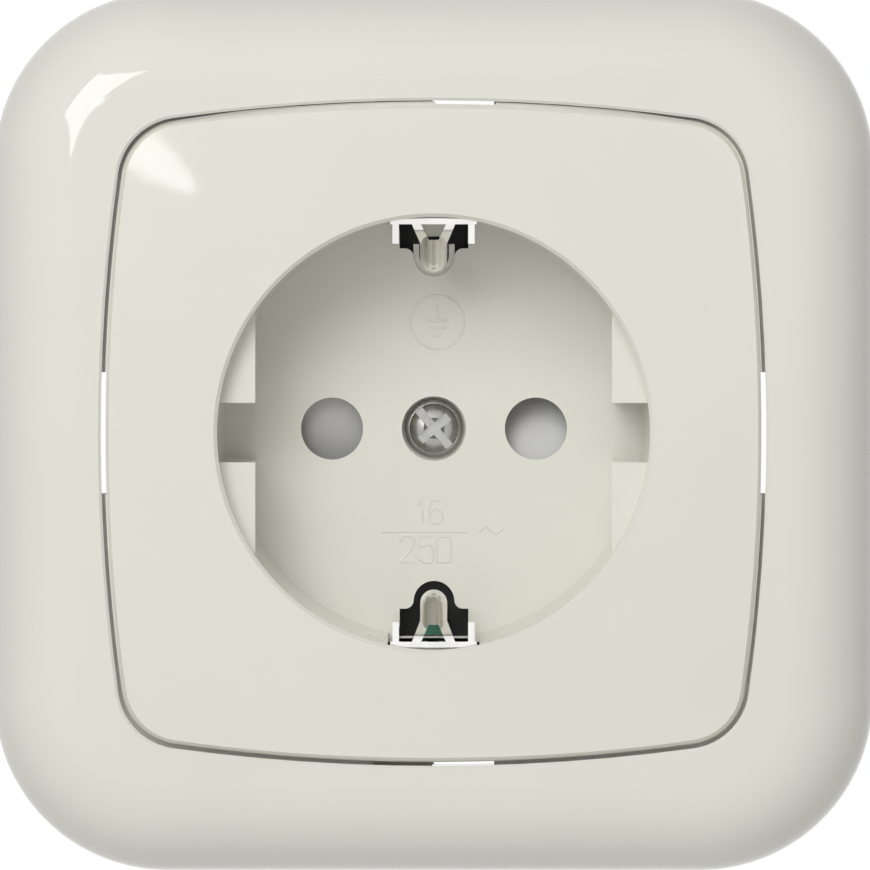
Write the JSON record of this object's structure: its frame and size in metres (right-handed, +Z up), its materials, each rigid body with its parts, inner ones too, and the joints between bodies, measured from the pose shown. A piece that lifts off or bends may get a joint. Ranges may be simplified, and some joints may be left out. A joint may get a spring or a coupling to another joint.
{
  "type": "type f wall socket",
  "caption": "Flush wall outlet for round two-pin earthed plugs: rounded square frame, domed centre plate with a round plug well, sprung earth contacts, shutter, steel mounting ring and claws.",
  "frame": {"origin": "axis of the plug well, in the plane of the wall behind the mounting ring", "axes": "+Y into the wall, +Z up, +X to the right as seen from the room"},
  "size_m": [0.0816, 0.043, 0.0816],
  "materials": {
    "frame_plastic": "polished moulding",
    "shutter_plastic": "plain moulding",
    "retainer_plastic": "plain black moulding",
    "base_plastic": "plain moulding",
    "button_plastic": "plain moulding",
    "zinc": "zinc plated",
    "ring_steel": "zinc plated sheet",
    "tinned_steel": "nickel plated strip",
    "spring_steel": "plain spring steel",
    "brass": "bright strip"
  },
  "bodies": {
    "socket": {"cover_frame": "frame_plastic", "centre_plate": "frame_plastic", "centre_screw": "zinc", "shutter_spring": "spring_steel", "shutter_retainer": "retainer_plastic", "mounting_ring": "ring_steel", "ring_rivets": "zinc", "socket_base": "base_plastic", "rear_cover": "base_plastic", "cover_screws": "zinc", "earth_bow": "tinned_steel", "live_contact": "brass", "neutral_contact": "brass", "earth_terminal": "tinned_steel", "live_clamp": "spring_steel", "neutral_clamp": "spring_steel", "earth_clamp": "spring_steel"},
    "shutter": {"shutter": "shutter_plastic"},
    "live_release": {"live_release": "button_plastic"},
    "neutral_release": {"neutral_release": "button_plastic"},
    "earth_release": {"earth_release": "button_plastic"},
    "right_claw_screw": {"right_claw_screw": "zinc"},
    "right_claw_nut": {"right_claw_nut": "zinc"},
    "right_claw": {"right_claw": "ring_steel"},
    "left_claw_screw": {"left_claw_screw": "zinc"},
    "left_claw_nut": {"left_claw_nut": "zinc"},
    "left_claw": {"left_claw": "ring_steel"}
  },
  "joints": [
    {"name": "shutter_turn", "type": "hinge", "parent": "socket", "child": "shutter", "pos_m": [0, 0.0105, 0], "axis": [0, 1, 0], "range_deg": [0, 40], "stiffness_Nm_per_rad": 0.002, "springref_deg": -9.74, "deforming": ["shutter_spring"]},
    {"name": "live_release_press", "type": "slide", "parent": "socket", "child": "live_release", "axis": [0, -1, 0], "range_m": [0, 0.0012], "stiffness_N_per_m": 200, "springref_m": -0.0005, "deforming": ["live_clamp"]},
    {"name": "neutral_release_press", "type": "slide", "parent": "socket", "child": "neutral_release", "axis": [0, -1, 0], "range_m": [0, 0.0012], "stiffness_N_per_m": 200, "springref_m": -0.0005, "deforming": ["neutral_clamp"]},
    {"name": "earth_release_press", "type": "slide", "parent": "socket", "child": "earth_release", "axis": [0, -1, 0], "range_m": [0, 0.0012], "stiffness_N_per_m": 200, "springref_m": -0.0005, "deforming": ["earth_clamp"]},
    {"name": "right_claw_nut_travel", "type": "slide", "parent": "socket", "child": "right_claw_nut", "axis": [0, -1, 0], "range_m": [0, 0.005]},
    {"name": "right_claw_screw_turn", "type": "hinge", "parent": "socket", "child": "right_claw_screw", "pos_m": [0.025, 0, 0], "axis": [0, 1, 0], "range_deg": [0, 1800]},
    {"name": "right_claw_spread", "type": "slide", "parent": "socket", "child": "right_claw", "axis": [0.4472, -0.8944, 0], "range_m": [0, 0.00559]},
    {"name": "left_claw_nut_travel", "type": "slide", "parent": "socket", "child": "left_claw_nut", "axis": [0, -1, 0], "range_m": [0, 0.005]},
    {"name": "left_claw_screw_turn", "type": "hinge", "parent": "socket", "child": "left_claw_screw", "pos_m": [-0.025, 0, 0], "axis": [0, 1, 0], "range_deg": [0, 1800]},
    {"name": "left_claw_spread", "type": "slide", "parent": "socket", "child": "left_claw", "axis": [-0.4472, -0.8944, 0], "range_m": [0, 0.00559]}
  ],
  "couplings": [
    {"joint": "right_claw_screw_turn", "follows": "right_claw_nut_travel", "rad_per_m": 6283.2},
    {"joint": "right_claw_spread", "follows": "right_claw_nut_travel", "ratio": 1.118},
    {"joint": "left_claw_screw_turn", "follows": "left_claw_nut_travel", "rad_per_m": 6283.2},
    {"joint": "left_claw_spread", "follows": "left_claw_nut_travel", "ratio": 1.118}
  ]
}
